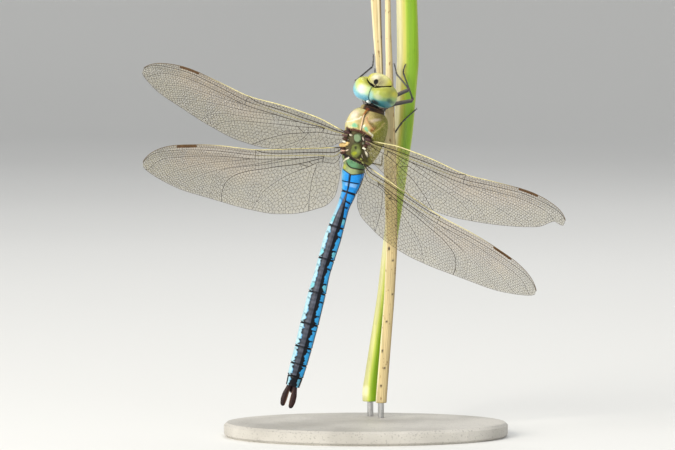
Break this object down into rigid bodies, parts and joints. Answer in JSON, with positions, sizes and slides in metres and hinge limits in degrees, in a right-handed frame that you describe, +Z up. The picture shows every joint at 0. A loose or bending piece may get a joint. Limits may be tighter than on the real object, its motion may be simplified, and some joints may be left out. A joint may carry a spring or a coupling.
{
  "type": "emperor dragonfly display model",
  "caption": "Life-size male emperor dragonfly with clear veined wings and a blue abdomen striped in black, gripping cut reed stems held over an oval display base.",
  "frame": {"origin": "centre of the oval base's underside, on the surface it stands on", "axes": "+Z up along the stems, the insect's back faces -Y, +X to the right of someone looking at its back"},
  "size_m": [0.0946, 0.044, 0.1012],
  "materials": {
    "stand_base": "plain satin light grey",
    "stand_rod": "fine brushed steel",
    "dry_reed": "dry straw-coloured plant stem, lengthwise ribs, small dark specks",
    "green_reed": "fresh green plant stem with a waxy surface and pale edge",
    "wing": "clear membrane with a faint smoky amber tint, dark veins and yellow leading edge",
    "dark_cuticle": "shiny black to dark brown insect cuticle",
    "compound_eye": "glossy, yellow-green in front to blue at the back",
    "face": "yellow-green cuticle with a black spot and line on the brow",
    "thorax": "olive-tan cuticle with short down, mint and brown marks between the wings",
    "abdomen": "bright blue cuticle with a scalloped black stripe along the back"
  },
  "bodies": {
    "root": {"abdomen_1": "abdomen", "abdomen_10": "abdomen", "abdomen_2": "abdomen", "abdomen_3": "abdomen", "abdomen_4": "abdomen", "abdomen_5": "abdomen", "abdomen_6": "abdomen", "abdomen_7": "abdomen", "abdomen_8": "abdomen", "abdomen_9": "abdomen", "antenna_left": "dark_cuticle", "antenna_right": "dark_cuticle", "cercus_left": "dark_cuticle", "cercus_right": "dark_cuticle", "epiproct": "dark_cuticle", "eye_left": "compound_eye", "eye_right": "compound_eye", "forewing_left": "wing", "forewing_right": "wing", "head": "face", "hindwing_left": "wing", "hindwing_right": "wing", "leg_fore_left_femur": "dark_cuticle", "leg_fore_left_tarsus": "dark_cuticle", "leg_fore_left_tibia": "dark_cuticle", "leg_fore_right_femur": "dark_cuticle", "leg_fore_right_tarsus": "dark_cuticle", "leg_fore_right_tibia": "dark_cuticle", "leg_hind_left_femur": "dark_cuticle", "leg_hind_left_tarsus": "dark_cuticle", "leg_hind_left_tibia": "dark_cuticle", "leg_hind_right_femur": "dark_cuticle", "leg_hind_right_tarsus": "dark_cuticle", "leg_hind_right_tibia": "dark_cuticle", "leg_mid_left_femur": "dark_cuticle", "leg_mid_left_tarsus": "dark_cuticle", "leg_mid_left_tibia": "dark_cuticle", "leg_mid_right_femur": "dark_cuticle", "leg_mid_right_tarsus": "dark_cuticle", "leg_mid_right_tibia": "dark_cuticle", "neck": "dark_cuticle", "perch_sheath_dry": "dry_reed", "perch_stem_dry": "dry_reed", "perch_stem_green": "green_reed", "prothorax": "dark_cuticle", "stand_base": "stand_base", "stand_rod_dry": "stand_rod", "stand_rod_green": "stand_rod", "thorax": "thorax"}
  },
  "joints": []
}
